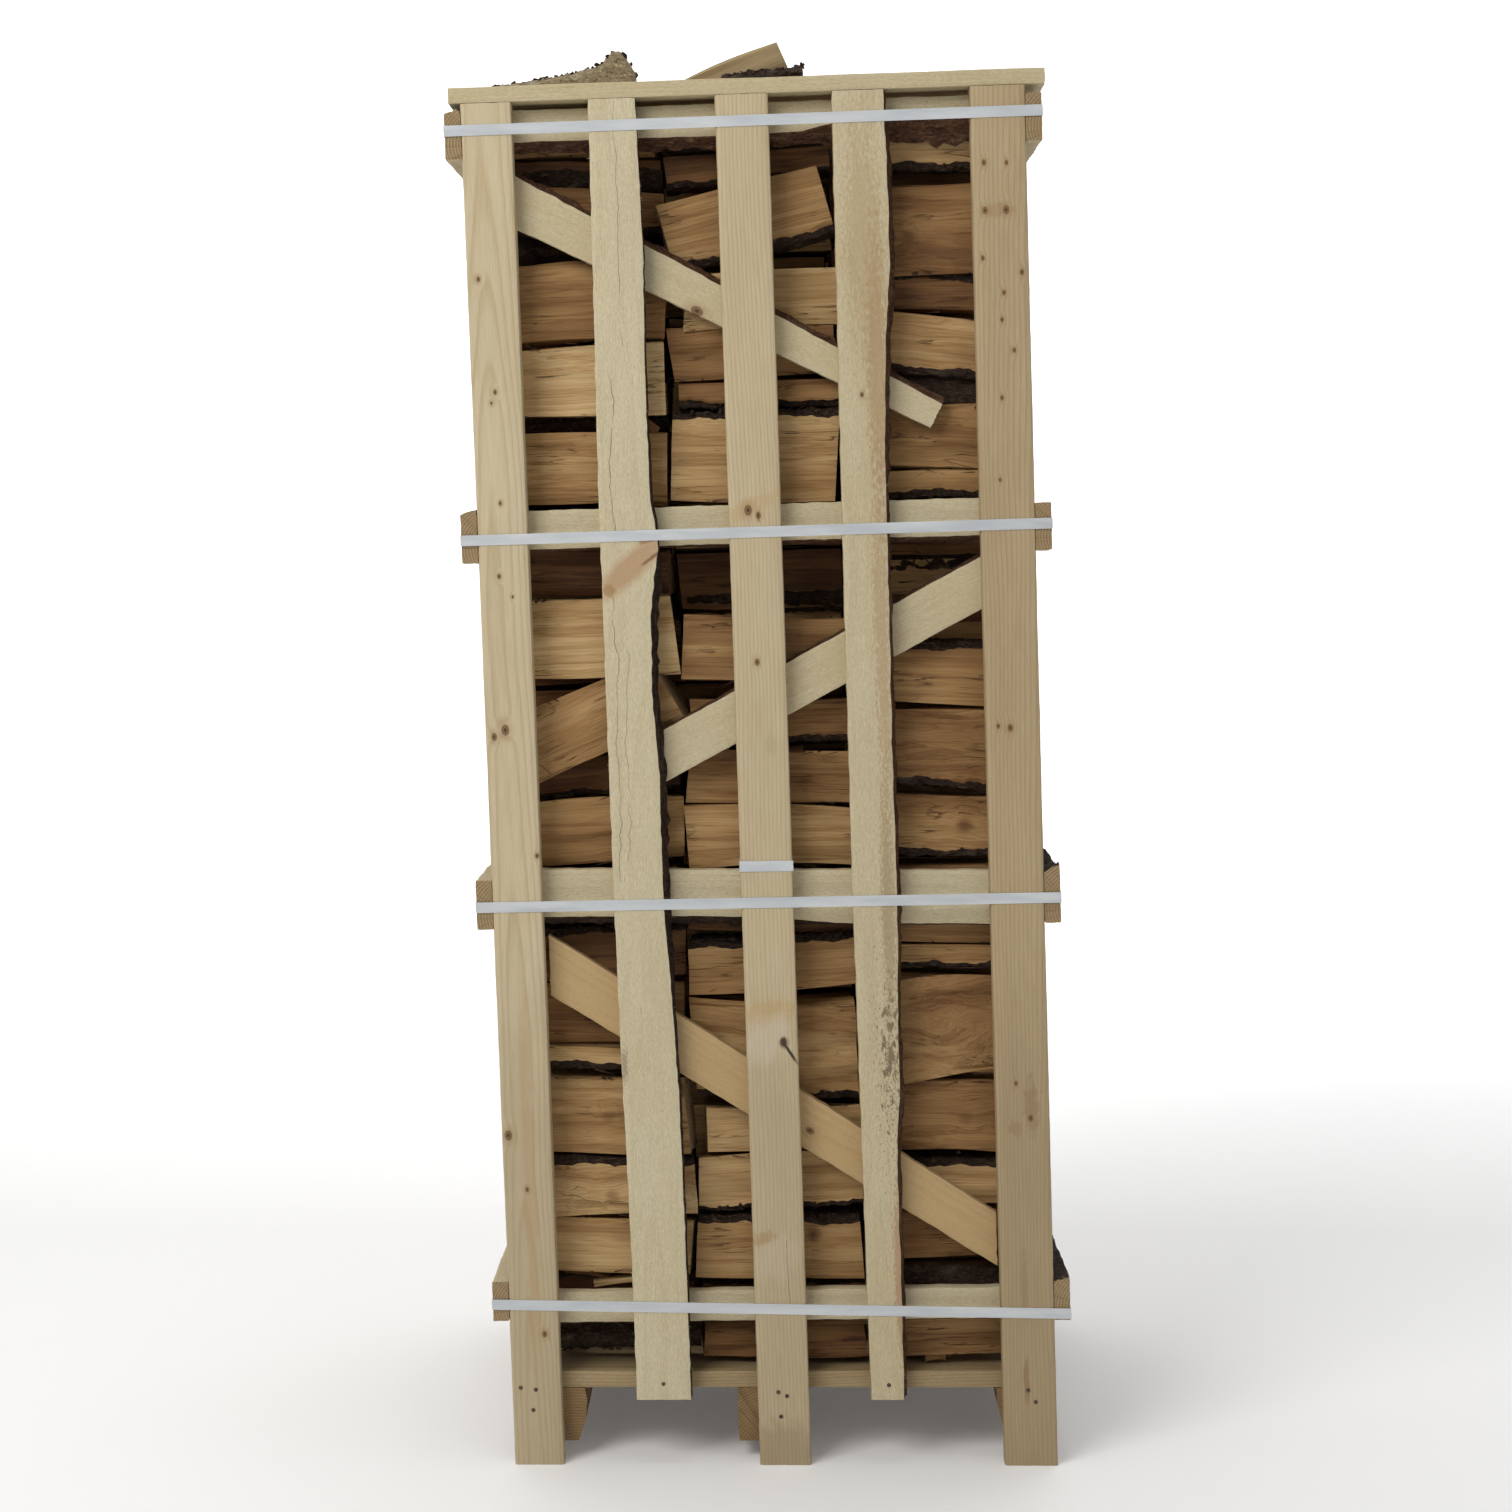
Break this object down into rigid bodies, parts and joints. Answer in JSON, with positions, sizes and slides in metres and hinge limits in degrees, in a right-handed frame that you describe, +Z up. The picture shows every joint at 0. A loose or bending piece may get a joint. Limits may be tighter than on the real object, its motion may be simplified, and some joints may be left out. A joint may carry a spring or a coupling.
{
  "type": "firewood crate",
  "caption": "Tall slatted wooden crate on a low pallet base, filled with split birch logs and bound with flat plastic straps, for moving and storing firewood.",
  "frame": {"origin": "under the centre of the crate's box, on the plane that the post feet stand on", "axes": "+Z up along the posts, -Y out of the front wall, +X to the right seen from the front"},
  "size_m": [0.94, 0.8024, 2.1618],
  "materials": {
    "planed_pine": "planed pine, matt, fine straight grain with small dark knots",
    "sawn_pine": "rough-sawn pale softwood, matt and fuzzy, bark on waney edges",
    "pallet_wood": "rough-sawn softwood, a little darker and dirtier",
    "birch_log": "freshly split birch, fibrous and matt, from cream to reddish brown",
    "birch_bark": "dark, cracked and flaky bark, matt",
    "strap_film": "thin white strapping, satin, slightly bluish",
    "nail_steel": "dull dark steel nail heads"
  },
  "bodies": {
    "root": {"brace_bottom_back": "sawn_pine", "brace_bottom_front": "sawn_pine", "brace_middle_back": "sawn_pine", "brace_middle_front": "sawn_pine", "brace_top_back": "sawn_pine", "brace_top_front": "sawn_pine", "cross_tie": "strap_film", "deck_board_1": "pallet_wood", "deck_board_2": "pallet_wood", "deck_board_3": "pallet_wood", "deck_board_4": "pallet_wood", "deck_board_5": "pallet_wood", "log_stack_left": "birch_log", "log_stack_middle_lower": "birch_log", "log_stack_middle_upper": "birch_log", "log_stack_right": "birch_log", "loose_log_left": "birch_bark", "loose_log_middle": "birch_log", "post_left_back": "planed_pine", "post_left_front": "planed_pine", "post_middle_back": "planed_pine", "post_middle_front": "planed_pine", "post_right_back": "planed_pine", "post_right_front": "planed_pine", "rail_bottom_back": "sawn_pine", "rail_bottom_front": "sawn_pine", "rail_lower_back": "sawn_pine", "rail_lower_front": "sawn_pine", "rail_top_back": "sawn_pine", "rail_top_front": "sawn_pine", "rail_upper_back": "sawn_pine", "rail_upper_front": "sawn_pine", "runner_left": "pallet_wood", "runner_middle": "pallet_wood", "runner_right": "pallet_wood", "side_rail_bottom_left": "sawn_pine", "side_rail_bottom_right": "sawn_pine", "side_rail_lower_left": "sawn_pine", "side_rail_lower_right": "sawn_pine", "side_rail_top_left": "sawn_pine", "side_rail_top_right": "sawn_pine", "side_rail_upper_left": "sawn_pine", "side_rail_upper_right": "sawn_pine", "side_slat_back_left": "sawn_pine", "side_slat_back_right": "sawn_pine", "side_slat_front_left": "sawn_pine", "side_slat_front_right": "sawn_pine", "slat_left_back": "sawn_pine", "slat_left_front": "sawn_pine", "slat_right_back": "sawn_pine", "slat_right_front": "sawn_pine", "strap_bottom": "strap_film", "strap_lower": "strap_film", "strap_top": "strap_film", "strap_upper": "strap_film", "top_board_back": "sawn_pine", "top_board_front": "sawn_pine"}
  },
  "joints": []
}
